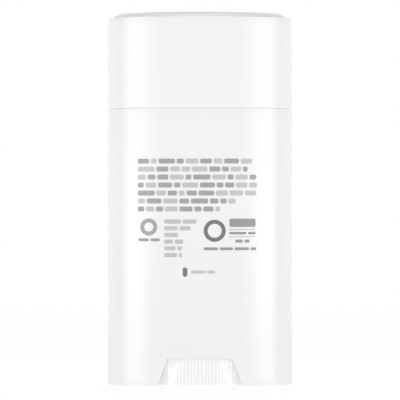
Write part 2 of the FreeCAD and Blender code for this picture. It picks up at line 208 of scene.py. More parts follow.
def full_turn(columns):
    """Evenly spaced angles once round, as one row."""
    return np.linspace(0, 2 * math.pi, columns, endpoint=False)[None, :]


def oval_centres():
    """Centre of a small end arc on X, centre of a large face arc on Y, and the large radius."""
    form, _ = sizes()
    end_x = form.width / 2 - form.end_radius
    lift = form.depth / 2 - form.end_radius
    face_y = (end_x ** 2 - lift ** 2) / (2 * lift)
    return end_x, face_y, form.depth / 2 + face_y


def oval(angle, inset, z):
    """Four tangent arcs: each arc's centre plus its radius, less inset, along the normal angle."""
    form, _ = sizes()
    end_x, face_y, face_radius = oval_centres()
    on_end = np.abs(np.sin(angle)) <= face_y / math.hypot(end_x, face_y)
    x0 = np.where(on_end, np.sign(np.cos(angle)) * end_x, 0.0)
    y0 = np.where(on_end, 0.0, -np.sign(np.sin(angle)) * face_y)
    radius = np.where(on_end, form.end_radius, face_radius) - inset
    return placed_points(x0 + radius * np.cos(angle), y0 + radius * np.sin(angle), z)


SEGMENTS = (12, 40, 12, 20)     # columns on a face beside the cut-out, an end, a face, and the cut-out


def oval_angles(cut, inset=0.0):
    """Normal angles of every column. The columns keep to the cut-out's two edges, which stand at
    cut from the middle, so cut and inset may be arrays with one row per height."""
    end_x, face_y, face_radius = oval_centres()
    turn = math.atan2(face_y, end_x)
    edge = np.arccos(np.asarray(cut, float) / (face_radius - np.asarray(inset, float)))
    edge = np.atleast_1d(edge)[:, None]
    stops = [-edge, -turn + 0 * edge, turn + 0 * edge, edge, math.pi - edge]
    half = [low + (high - low) * np.linspace(0, 1, count, endpoint=False)
            for low, high, count in zip(stops[:-1], stops[1:], SEGMENTS)]
    half = np.concatenate(half, axis=1)
    return np.concatenate([half, half + math.pi], axis=1)


def oval_rows(profile, angles):
    """The oval swept up a profile of (inset, height) pairs."""
    profile = np.asarray(profile)
    return oval(angles, profile[:, :1], profile[:, 1:])


def circle_rows(profile, columns):
    """A profile of (radius, height) pairs turned about the upright axis."""
    profile = np.asarray(profile, float)
    return turned(profile[:, :1], full_turn(columns), profile[:, 1:])


def bulge(x, y, top, radius_x, radius_y):
    """Height of a dome: an arc of radius_x along X, swung about a level axis radius_y below the top."""
    ridge = radius_x - np.sqrt(radius_x ** 2 - x ** 2)
    return top - radius_y + np.sqrt((radius_y - ridge) ** 2 - y ** 2)


def soft_min(a, b, width):
    """The lower of two heights, rounded where they cross."""
    share = np.clip(0.5 + 0.5 * (b - a) / width, 0.0, 1.0)
    return b * (1 - share) + a * share - width * share * (1 - share)


def dome_rows(angles, insets, shrink, height):
    """Rings from the edge to the pole: first by inset, then the last ring scaled to nothing.
    Each ring takes its heights from a function of x, y and the inset."""
    insets = np.asarray(insets)[:, None]
    rings = oval(angles, insets, 0.0)
    tail = rings[-1:] * np.asarray(shrink)[:, None, None]
    depth = np.concatenate([insets + 0 * rings[..., 0], insets[-1] + 0 * tail[..., 0]])
    rings = np.concatenate([rings, tail])
    rings[..., 2] = height(rings[..., 0], rings[..., 1], depth)
    return rings


def crown(x, y, inset, wall):
    """The cap's top: a flat land, a bevel that rises from it, and a shallow dome, blended."""
    form, _ = sizes()
    land = form.top - form.crown_rise - wall
    bevel = np.maximum(inset - wall - form.land, 0.0) * math.tan(form.crown_slope)
    dome = bulge(x, y, form.crown_rise, form.crown_x, form.crown_y)
    return land + np.maximum(soft_min(bevel, dome, form.crown_blend), 0.0)


def grid(points, closed=False, keep=None):
    """Quads of a grid of points whose columns run round a ring. Closed also joins the last row to the
    first, and keep chooses quads."""
    rows, columns = points.shape[:2]
    row = np.arange(rows if closed else rows - 1)[:, None]
    column = np.arange(columns)[None, :]
    ahead, above = (column + 1) % columns, (row + 1) % rows
    quads = np.stack([row * columns + column, row * columns + ahead,
                      above * columns + ahead, above * columns + column], axis=-1)
    quads = quads.reshape(-1, 4) if keep is None else quads[keep]
    return points.reshape(-1, 3), quads


def rounded_plate(half_width, half_height, half_thickness, corner=0.3 * MM, edge=0.15 * MM, steps=4):
    """A plate with rounded corners and edges, as rings (u, v, t): the outline is a rounded
    rectangle, shrunk by the edge's own arc and then to nothing on both faces."""
    quarter = np.linspace(0, math.pi / 2, steps)
    angle = np.concatenate([quarter + k * math.pi / 2 for k in range(4)])
    side = np.repeat([[1, 1], [-1, 1], [-1, -1], [1, -1]], steps, axis=0)
    turn = np.linspace(math.pi / 2, -math.pi / 2, 2 * steps)
    shrink = edge * (1 - np.cos(turn))[:, None]
    lift = (half_thickness - edge) * np.sign(np.sin(turn)) + edge * np.sin(turn)
    u = side[:, 0] * (half_width - corner) + (corner - shrink) * np.cos(angle)
    v = side[:, 1] * (half_height - corner) + (corner - shrink) * np.sin(angle)
    rim = placed_points(u, v, lift[:, None])
    first, last = rim[:1] * [0, 0, 1], rim[-1:] * [0, 0, 1]
    return np.concatenate([first, rim, last])


def plates(plate, order, *offsets):
    """Copies of a plate, its coordinates (u, v, t) put on the axes in the given order, then moved."""
    return [grid(plate[..., order] + np.asarray(offset)) for offset in offsets]


# Meshes


def in_scene(name, data):
    """An object of that data in the scene's own collection."""
    made = bpy.data.objects.new(name, data)
    bpy.context.scene.collection.objects.link(made)
    return made


def new_piece(name, grids, body, material, replaced=(), sharp=SHARP):
    """One object from several closed surfaces: welded, facing outwards, smooth but for crisp edges."""
    starts = np.cumsum([0] + [len(vertices) for vertices, _ in grids])
    points = np.concatenate([vertices for vertices, _ in grids])
    faces = np.concatenate([quads + start for (_, quads), start in zip(grids, starts)])
    mesh = bpy.data.meshes.new(name)
    mesh.from_pydata(points.tolist(), [], faces.tolist())
    work = bmesh.new()
    work.from_mesh(mesh)
    bmesh.ops.remove_doubles(work, verts=work.verts, dist=WELD)
    bmesh.ops.dissolve_degenerate(work, dist=WELD / 10, edges=work.edges)
    bmesh.ops.recalc_face_normals(work, faces=work.faces)
    work.to_mesh(mesh)
    work.free()
    mesh.polygons.foreach_set("use_smooth", np.ones(len(mesh.polygons), bool))
    mesh.set_sharp_from_angle(angle=sharp)
    mesh.materials.append(material)
    mesh.update()
    piece = in_scene(name, mesh)
    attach(piece, body)
    if replaced:
        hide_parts(*replaced)
    return piece


# Materials

MOTTLE_SCALE = 55.0         # cells to a metre
FLOW_SCALE, FLOW_STRETCH = 240.0, 0.06
PEEL_HEIGHT = 0.02 * MM
UNEVEN = 0.05               # what the mottle adds to the roughness
SPECKLE_SCALE, SPECKLE_SHARE = 2600.0, 0.08
BARE = (0.70, 0.70, 0.70)   # tone of the thinnest ink


def feed(tree, node, inputs):
    """Set inputs by name or number to numbers or colours, or link the sockets that supply them."""
    for key, value in inputs.items():
        if isinstance(value, bpy.types.NodeSocket):
            tree.links.new(value, node.inputs[key])
        else:
            node.inputs[key].default_value = value


def add(tree, kind, inputs=None, **values):
    """A node of one kind; values name its plain properties."""
    node = tree.nodes.new(kind)
    for key, value in values.items():
        setattr(node, key, value)
    feed(tree, node, inputs or {})
    return node


def maths(tree, operation, *values):
    """The result of a Math node over numbers or sockets."""
    return add(tree, "ShaderNodeMath", dict(enumerate(values)), operation=operation).outputs[0]


def noise(tree, place, scale, detail=2.0):
    """Noise from 0 to 1 over a place; the scale is a number or a socket."""
    inputs = {"Vector": place, "Scale": scale, "Detail": detail}
    return add(tree, "ShaderNodeTexNoise", inputs).outputs["Fac"]


def new_material(name):
    """A material, its node tree and the Principled shader in it."""
    material = bpy.data.materials.new(name)
    material.use_nodes = True
    return material, material.node_tree, material.node_tree.nodes["Principled BSDF"]


def moulding_group():
    """Injection-moulded skin: a faint mottle in the colour, flow lines along the draw, an orange peel
    in the normal and a little unevenness in the gloss."""
    name = "MouldedSkin"
    if name in bpy.data.node_groups:
        return bpy.data.node_groups[name]
    group = bpy.data.node_groups.new(name, "ShaderNodeTree")
    kinds = {"Color": "NodeSocketColor", "Normal": "NodeSocketVector"}
    for label, value in (("Color", (0.8, 0.8, 0.8, 1)), ("Roughness", 0.2), ("Mottle", 0.02), ("Flow", 0.01),
                         ("Peel", 0.04), ("Peel Size", 700.0)):
        kind = kinds.get(label, "NodeSocketFloat")
        group.interface.new_socket(name=label, in_out="INPUT", socket_type=kind).default_value = value
    for label in ("Color", "Roughness", "Normal"):
        kind = kinds.get(label, "NodeSocketFloat")
        group.interface.new_socket(name=label, in_out="OUTPUT", socket_type=kind)
    given = add(group, "NodeGroupInput").outputs
    place = add(group, "ShaderNodeTexCoord").outputs["Object"]
    draw = {"Vector": place, "Scale": (1.0, 1.0, FLOW_STRETCH)}
    flow = noise(group, add(group, "ShaderNodeMapping", draw).outputs["Vector"], FLOW_SCALE)
    mottle = noise(group, place, MOTTLE_SCALE, 3.0)

    def swing(source, amount):
        """One plus the amount times the noise's distance from its middle."""
        return maths(group, "MULTIPLY_ADD", maths(group, "SUBTRACT", source, 0.5), amount, 1.0)

    tone = maths(group, "MULTIPLY", swing(mottle, given["Mottle"]), swing(flow, given["Flow"]))
    tinted = add(group, "ShaderNodeVectorMath", {0: given["Color"], "Scale": tone}, operation="SCALE")
    bump = add(group, "ShaderNodeBump", {"Height": noise(group, place, given["Peel Size"], 1.0),
                                         "Strength": given["Peel"], "Distance": PEEL_HEIGHT})
    uneven = maths(group, "MULTIPLY_ADD", mottle, UNEVEN, given["Roughness"])
    add(group, "NodeGroupOutput", {"Color": tinted.outputs["Vector"], "Roughness": uneven,
                                   "Normal": bump.outputs["Normal"]})
    return group


def plastic(name, tint, roughness, mottle=0.02, flow=0.01, peel=0.1, peel_size=700.0, ior=1.49):
    """A moulded material: the shared skin feeds a Principled shader that keeps its own index."""
    material, tree, shader = new_material(name)
    material.diffuse_color = (*tint, 1.0)
    skin = add(tree, "ShaderNodeGroup", {"Color": (*tint, 1.0), "Roughness": roughness, "Mottle": mottle,
                                         "Flow": flow, "Peel": peel, "Peel Size": peel_size},
               node_tree=moulding_group()).outputs
    feed(tree, shader, {"Base Color": skin["Color"], "Roughness": skin["Roughness"], "Normal": skin["Normal"],
                        "IOR": ior})
    return material


def ink_material(tint):
    """Pad-print ink: grey with the coverage attribute's light and dark words, and a dry, speckled film."""
    material, tree, shader = new_material("PadPrintInk")
    cover = add(tree, "ShaderNodeAttribute", attribute_name="coverage").outputs["Fac"]
    speckle = noise(tree, add(tree, "ShaderNodeTexCoord").outputs["Object"], SPECKLE_SCALE)
    share = maths(tree, "MULTIPLY_ADD", speckle, SPECKLE_SHARE, cover)
    mix = add(tree, "ShaderNodeMix", {"Factor": share, "A": (*BARE, 1.0), "B": (*tint, 1.0)},
              data_type="RGBA")
    feed(tree, shader, {"Base Color": mix.outputs["Result"], "Roughness": 0.38})
    return material


# Barrel

NECK_CHAMFER = 0.3 * MM
NECK_ROOT = 0.1 * MM
MOUTH_ROUND = 0.15 * MM     # inner edge of the mouth
FLOOR_ROUND = 0.6 * MM      # bore to the floor
BEAD_RISE = 0.1 * MM        # grip beads on the neck's two faces
BEAD_HEIGHT = 1.0 * MM
BEAD_ROUND = 0.15 * MM
BEAD_REACH = 8.0 * MM       # middle of a face to the end of its bead
BEAD_ABOVE_SEAM = 3.0 * MM
BEARING_PLAY = 0.06 * MM
RIB_SETBACK = 1.0 * MM      # foot to the cross ribs
RIB_GAP = 2.4 * MM          # wheel well to the first rib
RIB_PITCH = 5.0 * MM
RIB_HALF = 0.6 * MM         # half the ribs' thickness
RIB_ROOT = 0.4 * MM         # how far they run into the walls
RIB_SINK = 0.5 * MM         # how far they run into the floor


def cut_lean():
    """Angle by which the cut-outs' sides lean from the upright."""
    form, _ = sizes()
    return math.atan((form.cut_foot - form.cut_top) / 2 / form.cut_height)


def cut_edge(height):
    """Half width of the cut-out at a height: a slanted side that ends in a rounded upper corner."""
    form, _ = sizes()
    slant = form.cut_top / 2 + (form.cut_height - height) * math.tan(cut_lean())
    middle = form.cut_top / 2 - form.cut_round / math.tan((math.pi / 2 + cut_lean()) / 2)
    start = form.cut_height - form.cut_round * (1 - math.sin(cut_lean()))
    rise = np.clip(height - form.cut_height + form.cut_round, 0.0, form.cut_round)
    rounded = middle + np.sqrt(form.cut_round ** 2 - rise ** 2)
    return np.where(height > start, rounded, slant)


def skirt_heights():
    """Heights of the rows beside the cut-out, closer together at the foot and round its corners."""
    form, _ = sizes()
    foot = form.foot_round * (1 - np.cos(np.radians(np.linspace(0, 90, 6))))
    turn = np.linspace(cut_lean(), math.pi / 2, 8)
    corner = form.cut_height - form.cut_round * (1 - np.sin(turn))
    return np.concatenate([foot, np.linspace(foot[-1], corner[0], 8)[1:-1], corner])


def well_inset(points, normals, wall, radius):
    """The wall's thickness along its normal, less where the round well of that radius reaches into it."""
    along = np.sum(points[..., :2] * normals, axis=-1)
    past = along ** 2 - (np.sum(points[..., :2] ** 2, axis=-1) - radius ** 2)
    reach = along - np.sqrt(np.maximum(past, 0.0))
    return np.where((past > 0) & (reach > 0), np.minimum(wall, reach), wall)


def barrel_grids():
    """The barrel as one closed sheet of rings: out over the foot, up the wall, round the seam edge, the
    neck and its grip beads, down the bore, through the floor, and down inside the skirt. The rings that
    stand beside the cut-outs leave them open, and their ends are joined by the cut-outs' own faces."""
    form, inner = sizes()
    low = skirt_heights()
    short = form.foot_round - np.minimum(low, form.foot_round)
    foot = np.sqrt(np.maximum(form.foot_round ** 2 - short ** 2, 0))
    outside = np.stack([form.foot_round - foot, low], axis=1)
    neck, bore, bead = form.neck_inset, form.bore_inset, form.seam + BEAD_ABOVE_SEAM
    upper = np.concatenate([
        straight((0, form.floor_low), (0, form.seam - form.seam_round), 26),
        arc(form.seam_round, form.seam - form.seam_round, form.seam_round, 180, 90, 5)[1:],
        straight((neck - NECK_ROOT, form.seam), (neck, form.seam + NECK_ROOT), 2),
        [(neck, bead - BEAD_RISE), (neck - BEAD_RISE, bead + BEAD_ROUND),
         (neck - BEAD_RISE, bead + BEAD_HEIGHT - BEAD_ROUND), (neck, bead + BEAD_HEIGHT + BEAD_RISE)],
        straight((neck, form.mouth - NECK_CHAMFER), (neck + NECK_CHAMFER, form.mouth), 3),
        arc(bore - MOUTH_ROUND, form.mouth - MOUTH_ROUND, MOUTH_ROUND, 90, 0, 4),
        straight((bore, form.mouth - NECK_CHAMFER), (bore, form.floor_high + FLOOR_ROUND), 12),
        arc(bore + FLOOR_ROUND, form.floor_high + FLOOR_ROUND, FLOOR_ROUND, 180, 270, 5)[1:],
    ])
    profile = np.concatenate([outside, upper])
    cut = cut_edge(np.minimum(profile[:, 1], form.cut_height))
    angles = oval_angles(cut, np.where(profile[:, 1] < form.cut_height, profile[:, 0], 0.0))
    inset = profile[:, :1] + 0 * angles
    beads = (np.abs(profile[:, 1] - bead - BEAD_HEIGHT / 2) < BEAD_HEIGHT / 2) & (profile[:, 0] < neck)
    ends = np.abs(oval(angles, inset, 0.0)[..., 0]) > BEAD_REACH
    inset[beads[:, None] & ends] = neck
    outer = oval(angles, inset, profile[:, 1:])

    under = np.concatenate([[form.floor_low], low[::-1]])
    cut = cut_edge(np.minimum(under, form.cut_height))
    angles = oval_angles(cut, form.skirt_wall)
    shell = oval(angles, 0.0, under[:, None])
    normals = np.stack([np.cos(angles), np.sin(angles)], axis=-1)
    radius = inner.wheel_radius + inner.well_clearance
    inside = oval(angles, well_inset(shell, normals, form.skirt_wall, radius), under[:, None])

    bearing = inner.journal + BEARING_PLAY
    turn = np.arctan2(outer[-1, :, 1], outer[-1, :, 0])
    hole = turned(bearing, turn, np.array([[form.floor_high], [form.floor_low]]))
    points = np.concatenate([outer, hole, inside])

    rows, columns = points.shape[:2]
    beside, half = sum(SEGMENTS[:3]), sum(SEGMENTS)
    column = np.arange(columns)
    open_columns = (column % half) >= beside
    skirt = len(low) - 1
    keep = np.ones((rows, columns), bool)
    keep[:skirt, :] = ~open_columns
    keep[rows - 1 - skirt:, :] = ~open_columns
    vertices, quads = grid(points, closed=True, keep=keep)

    row = np.arange(skirt)[:, None]
    sides = np.array([0, beside, half, half + beside])[None, :]
    jambs = np.stack([row * columns + sides, (row + 1) * columns + sides,
                      (rows - 2 - row) * columns + sides, (rows - 1 - row) * columns + sides], axis=-1)
    across = column[open_columns]
    lintel = np.stack([skirt * columns + across, skirt * columns + (across + 1) % columns,
                       (rows - 1 - skirt) * columns + (across + 1) % columns,
                       (rows - 1 - skirt) * columns + across], axis=-1)
    return [(vertices, np.concatenate([quads, jambs.reshape(-1, 4), lintel]))]


def skirt_ribs():
    """Cross ribs under the floor on both sides of the wheel, each rooted in the walls and the floor. A
    rib reaches to the outline's face arc, or further out to its end arc."""
    form, inner = sizes()
    end_x, face_y, face_radius = oval_centres()
    end_radius = form.end_radius - form.skirt_wall + RIB_ROOT
    low, high = RIB_SETBACK, form.floor_low + RIB_SINK
    first = inner.wheel_radius + inner.well_clearance + RIB_GAP + RIB_HALF
    grids = []
    for x in (first, first + RIB_PITCH):
        reach = math.sqrt((face_radius - form.skirt_wall + RIB_ROOT) ** 2 - x ** 2) - face_y
        if x - end_x > end_radius / 2:
            reach = math.sqrt(end_radius ** 2 - (x - end_x) ** 2)
        plate = rounded_plate(reach, (high - low) / 2, RIB_HALF, corner=0.4 * MM, edge=0.12 * MM)
        grids += plates(plate, [2, 0, 1], *((side * x, 0, (low + high) / 2) for side in (-1, 1)))
    return grids


class STICK_OT_barrel(Operator):
    """Build the barrel with its neck, floor, ribbed skirt and two base cut-outs"""
    bl_idname = "stick.barrel"
    bl_label = "Barrel"

    def execute(self, context):
        finish = context.scene.stick_finish
        material = plastic("PolishedShell", finish.shell, finish.shell_gloss)
        new_piece("barrel_shell", barrel_grids() + skirt_ribs(), "barrel", material, ["barrel"])
        return {"FINISHED"}


# Cap

CAP_LIP = 0.1 * MM          # bevel inside the cap's mouth
CROWN_SPAN = 5.2 * MM       # inset over which the crown's rings close in, before they shrink to the pole
CAP_RIB_PITCH = 16.0 * MM   # ribs inside the cap
CAP_RIB_HALF = 0.45 * MM
CAP_RIB_DEPTH = 1.8 * MM
CAP_RIB_ROOT = 0.3 * MM     # how far they run into the wall and the crown
CAP_RIB_GAP = 0.3 * MM      # seal cover to the ribs


def cap_grids():
    """The cap as one closed sheet: out round the mouth, up the wall, over the edge and the crown to the
    pole, and back inside at one wall's distance."""
    form, _ = sizes()
    angles = oval_angles(form.cut_top / 2)
    land, wall = form.top - form.crown_rise, form.cap_wall
    side = np.concatenate([
        [(wall - CAP_LIP, form.seam)],
        arc(form.seam_round, form.seam + form.seam_round, form.seam_round, 270, 180, 5),
        straight((0, form.seam + 1.0 * MM), (0, land - form.cap_edge), 12),
        arc(form.cap_edge, land - form.cap_edge, form.cap_edge, 180, 90, 5)[1:],
    ])
    steps = np.linspace(form.cap_edge, form.land, 4)[1:-1]
    rise = form.land + np.linspace(0, 1, 30) ** 1.3 * CROWN_SPAN
    shrink = np.linspace(1, 0, 15)[1:]
    outer = dome_rows(angles, np.concatenate([steps, rise]), shrink, lambda x, y, d: crown(x, y, d, 0.0))
    inner = dome_rows(angles, wall + rise, shrink, lambda x, y, d: crown(x, y, d, wall))
    down = straight((wall, land - wall), (wall, form.seam + CAP_LIP), 10)
    return [grid(np.concatenate([oval_rows(side, angles), outer, inner[::-1], oval_rows(down, angles)]),
                 closed=True)]


def cap_ribs():
    """Upright ribs under the crown on both faces, each rooted in the wall."""
    form, inner = sizes()
    _, face_y, face_radius = oval_centres()
    low = form.mouth + inner.lid_flange + CAP_RIB_GAP
    high = form.top - form.crown_rise - form.cap_wall + CAP_RIB_ROOT
    grids = []
    for x in (-CAP_RIB_PITCH, 0.0, CAP_RIB_PITCH):
        root, tip = (math.sqrt((face_radius - form.cap_wall + past) ** 2 - x ** 2) - face_y
                     for past in (CAP_RIB_ROOT, -CAP_RIB_DEPTH))
        plate = rounded_plate((root - tip) / 2, (high - low) / 2, CAP_RIB_HALF)
        y, z = (root + tip) / 2, (low + high) / 2
        grids += plates(plate, [2, 0, 1], (x, -y, z), (x, y, z))
    return grids


class STICK_OT_cap(Operator):
    """Build the overcap with its land, bevel, shallow dome and inner ribs"""
    bl_idname = "stick.cap"
    bl_label = "Cap"

    def execute(self, context):
        finish = context.scene.stick_finish
        material = plastic("PolishedCap", finish.shell, finish.shell_gloss)
        new_piece("cap_shell", cap_grids() + cap_ribs(), "overcap", material, ["cap"])
        return {"FINISHED"}


# Hand wheel

RIM_EDGE = np.array([(0.45, 0.0), (0.3, 0.1), (0.0, 0.4), (0.0, 0.6)]) * MM     # lost radius, height
COLUMNS_PER_RIB = 8
CUP_EDGE = 0.15 * MM
WEB_ROUND = 0.5 * MM        # web to the rim and to the stem
SNAP_PLAY = 0.1 * MM        # floor to the snap ring
SNAP_RISE = 0.7 * MM
SNAP_HEIGHT = 1.8 * MM
SPOKE_HALF = 0.6 * MM       # half the spokes' thickness
SPOKE_RISE = 2.7 * MM       # half their height
SPOKE_SINK = 0.4 * MM       # how far they run into the web
SPOKE_ROOT = 0.8 * MM       # how far they run into the rim
SCREW_LOW = 14.0 * MM       # foot of the stick to the screw's foot, inside the snap ring
THREAD_LOW = 15.6 * MM      # foot of the stick to the thread's start
THREAD_MIDDLE = 16.6 * MM   # foot of the stick to the first thread's middle
THREAD_HALF = 0.95 * MM     # half the ridge's width at its root
THREAD_FLANK = 0.5 * MM     # what it loses on each side up to its crest
THREAD_STEP = 0.2 * MM      # row to row
THREAD_END = 2.5 * MM       # thread's end to the tip
SCREW_TIP = (1.5 * MM, 1.25 * MM)       # tip to the last row, and to the chamfer
SCREW_COLUMNS = 48


def wheel_grids():
    """The wheel as one closed sheet turned about its axis: recessed underside, ribbed rim, cup, stem
    and snap ring. The rim's radius drops between the broad ribs by a power of a cosine of the angle, and
    less at its bevels."""
    form, inner = sizes()
    radius, low, high, stem = inner.wheel_radius, inner.wheel_low, inner.wheel_high, inner.journal
    cup, web = radius - inner.rib_depth - inner.wheel_rim, low + inner.wheel_web
    recess, roof = radius - inner.recess_margin, low + inner.recess_depth
    snap = form.floor_high + SNAP_PLAY
    under = np.array([(0, roof), (recess - 0.3 * MM, roof), (recess, roof - CUP_EDGE),
                      (recess + 0.1 * MM, low), (radius - 0.75 * MM, low)])
    rim = np.concatenate([(radius, low) + RIM_EDGE * (-1, 1), (radius, high) - RIM_EDGE[::-1]])
    over = np.array([(cup + CUP_EDGE, high), (cup, high - CUP_EDGE), (cup, web + WEB_ROUND),
                     (cup - WEB_ROUND, web), (stem + WEB_ROUND, web), (stem, web + WEB_ROUND),
                     (stem, snap), (stem + SNAP_RISE, snap), (stem + SNAP_RISE - 0.05 * MM, snap + 0.25 * MM),
                     (inner.screw_core, snap + SNAP_HEIGHT), (0, snap + SNAP_HEIGHT)])
    columns = inner.wheel_ribs * COLUMNS_PER_RIB
    points = circle_rows(np.concatenate([under, rim, over]), columns)
    phase = np.linspace(0, 2 * math.pi * inner.wheel_ribs, columns, endpoint=False)
    valley = inner.rib_depth * (0.5 + 0.5 * np.cos(phase)) ** 3
    rows = slice(len(under), len(under) + len(rim))
    bevel = RIM_EDGE[0, 0]
    share = np.clip((rim[:, :1] - radius + bevel) / bevel, 0.0, 1.0)
    points[rows, :, :2] *= (1 - share * valley / radius)[..., None]
    return [grid(points)]


def spokes():
    """Three plates across the cup, each two spokes, turned about the axis by thirds of a half turn."""
    _, inner = sizes()
    middle = inner.wheel_low + inner.wheel_web + SPOKE_RISE - SPOKE_SINK
    reach = inner.wheel_radius - inner.rib_depth - inner.wheel_rim + SPOKE_ROOT
    plate = rounded_plate(reach, SPOKE_RISE, SPOKE_HALF)
    points, quads = plates(plate, [0, 2, 1], (0, 0, middle))[0]
    grids = []
    for angle in np.radians([0, 60, 120]):
        turn = np.array([[math.cos(angle), math.sin(angle), 0], [-math.sin(angle), math.cos(angle), 0],
                         [0, 0, 1]])
        grids.append((points @ turn, quads))
    return grids


def screw_grid():
    """The threaded spindle: the radius is the core's plus a ridge whose flanks fall off with the
    height's distance from the helix, lead times the turn."""
    _, inner = sizes()
    core, lead, top = inner.screw_core, inner.screw_lead, inner.screw_top
    height = np.arange(SCREW_LOW, top - SCREW_TIP[0], THREAD_STEP)[:, None]
    angle = full_turn(SCREW_COLUMNS)
    off = np.abs((height - THREAD_MIDDLE - lead * angle / (2 * math.pi) + lead / 2) % lead - lead / 2)
    ridge = np.clip((THREAD_HALF - off) / THREAD_FLANK, 0.0, 1.0) * (inner.screw_crest - core)
    ridge = ridge * (height > THREAD_LOW) * (height < top - THREAD_END)
    foot = circle_rows([(0, SCREW_LOW)], SCREW_COLUMNS)
    tip = circle_rows([(core, top - SCREW_TIP[1]), (core / 2, top), (0, top)], SCREW_COLUMNS)
    return [grid(np.concatenate([foot, turned(core + ridge, angle, height), tip]))]


class STICK_OT_wheel(Operator):
    """Build the ribbed hand wheel with its stem and screw"""
    bl_idname = "stick.wheel"
    bl_label = "Hand Wheel"

    def execute(self, context):
        finish = context.scene.stick_finish
        # The wheel's lighter white is partly painted light that lifts the shade in the cut-out round it.
        material = plastic("WheelMouldingWithPaintedLight", finish.wheel, finish.wheel_gloss, mottle=0.03, peel=0.2)
        new_piece("ribbed_wheel", wheel_grids() + spokes() + screw_grid(), "dial", material,
                  ["hand_wheel"], sharp=math.radians(50))
        return {"FINISHED"}


# Bar, lid and platform

BORE_PLAY = 0.12 * MM       # bore to the bar and to the lid's plug
BAR_STEP = 1.1 * MM         # the bar's side to its head inside the plug
CORE_GAP = 0.3 * MM         # screw to the hole in the bar
BAR_FOOT = 0.2 * MM         # rounded edges of the bar
BAR_SHOULDER = 0.3 * MM
HEAD_DROP = 0.5 * MM        # softening of the head's edge
HEAD_RUN = 0.45 * MM
DOME_SPAN = 5.0 * MM        # inset over which a dome's rings close in, before they shrink to the pole
PLUG_WALL = 0.9 * MM
PLUG_ROUND = 0.25 * MM
FLANGE_SETBACK = 0.2 * MM   # neck to the flange's edge
FLANGE_ROUND = 0.2 * MM
FLANGE_SPAN = 6.0 * MM
LID_BLEND = 0.5 * MM        # flange to the dome
TAB_HALF_WIDTH, TAB_HALF_HEIGHT, TAB_HALF = 7.0 * MM, 3.0 * MM, 0.6 * MM
TAB_CORNER, TAB_EDGE = 1.5 * MM, 0.3 * MM
TAB_ROOT = 2.0 * MM         # how far the tab runs down into the dome


def bar_grids():
    """The bar as one closed sheet: down its core hole, across the platform's face, up the side, in over
    the step that the lid leaves, and over the dome to the pole."""
    form, inner = sizes()
    angles = oval_angles(form.cut_top / 2)
    side = form.bore_inset + BORE_PLAY
    head = side + BAR_STEP
    step = form.mouth - inner.lid_depth - inner.lid_gap
    turn = oval(angles, side, 0.0)[0]
    turn = np.arctan2(turn[:, 1], turn[:, 0])
    radius, depth = inner.screw_crest + CORE_GAP, inner.screw_top + CORE_GAP

    def height(x, y, inset):
        edge = HEAD_DROP * np.exp(-(inset - head) / HEAD_RUN)
        return bulge(x, y, inner.bar_top, inner.dome_x, inner.dome_y) - edge

    body = oval_rows(np.concatenate([
        [(side + BAR_FOOT, inner.bar_low)],
        straight((side, inner.bar_low + BAR_FOOT), (side, step - BAR_SHOULDER), 14),
        [(side + BAR_SHOULDER, step), (head, step)]]), angles)
    closing = head + np.linspace(0, 1, 16) ** 1.6 * DOME_SPAN
    dome = dome_rows(angles, closing, np.linspace(1, 0, 16)[1:], height)
    core = np.array([(0.0, depth), (radius, depth), (radius, inner.bar_low)])
    return [grid(np.concatenate([turned(core[:, :1], turn, core[:, 1:]), body, dome]))]


def lid_grids():
    """The lid as one closed sheet: the plug, the flange, the dome to its pole, and back underneath."""
    form, inner = sizes()
    angles = oval_angles(form.cut_top / 2)
    plug = form.bore_inset + BORE_PLAY
    wall = plug + PLUG_WALL
    foot, rim = form.mouth - inner.lid_depth, form.mouth
    flange = form.neck_inset + FLANGE_SETBACK
    top = rim + inner.lid_flange
    outer_top = inner.bar_top + inner.lid_gap + inner.lid_skin
    side = np.concatenate([
        [(wall - 0.1 * MM, foot), (plug + PLUG_ROUND, foot)],
        straight((plug, foot + PLUG_ROUND), (plug, rim), 6),
        [(flange + 0.1 * MM, rim)],
        arc(flange + FLANGE_ROUND, top - FLANGE_ROUND, FLANGE_ROUND, 180, 90, 5)])

    def above(x, y, inset):
        dome = bulge(x, y, outer_top, inner.dome_x, inner.dome_y)
        return -soft_min(-dome, -top + 0 * dome, LID_BLEND)

    def below(x, y, inset):
        return bulge(x, y, outer_top - inner.lid_skin, inner.dome_x, inner.dome_y)

    shrink = np.linspace(1, 0, 16)[1:]
    over = dome_rows(angles, flange + 0.4 * MM + np.linspace(0, 1, 24) * FLANGE_SPAN, shrink, above)
    under = dome_rows(angles, wall + np.linspace(0, 1, 14) * DOME_SPAN, shrink, below)
    down = straight((wall, foot + 2.0 * MM), (wall, foot + 0.1 * MM), 4)
    body = np.concatenate([oval_rows(side, angles), over, under[::-1], oval_rows(down, angles)])
    plate = rounded_plate(TAB_HALF_WIDTH, TAB_HALF_HEIGHT, TAB_HALF, TAB_CORNER, TAB_EDGE, 8)
    tab = plates(plate, [0, 2, 1], (0, 0, outer_top + TAB_HALF_HEIGHT - TAB_ROOT))
    return [grid(body, closed=True)] + tab


class STICK_OT_contents(Operator):
    """Build the bar and the seal cover, and finish the platform that the frame brings"""
    bl_idname = "stick.contents"
    bl_label = "Bar, Lid and Platform"

    def execute(self, context):
        finish = context.scene.stick_finish
        wax = plastic("WaxySolid", finish.wax, 0.42, mottle=0.05, flow=0.02, peel=0.5, peel_size=320.0,
                      ior=1.44)
        lid = plastic("ThinLid", finish.lid, 0.26, mottle=0.04, flow=0.03, peel=0.25, ior=1.51)
        platform = plastic("PlatformMoulding", finish.platform, 0.4, mottle=0.04, flow=0.03, peel=0.3,
                           ior=1.51)
        new_piece("solid_bar", bar_grids(), "carriage", wax, ["deodorant_bar"])
        new_piece("seal_lid", lid_grids(), "seal", lid, ["seal_cover"])
        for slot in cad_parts["platform"].material_slots:
            slot.material = platform
        return {"FINISHED"}


# Pad print

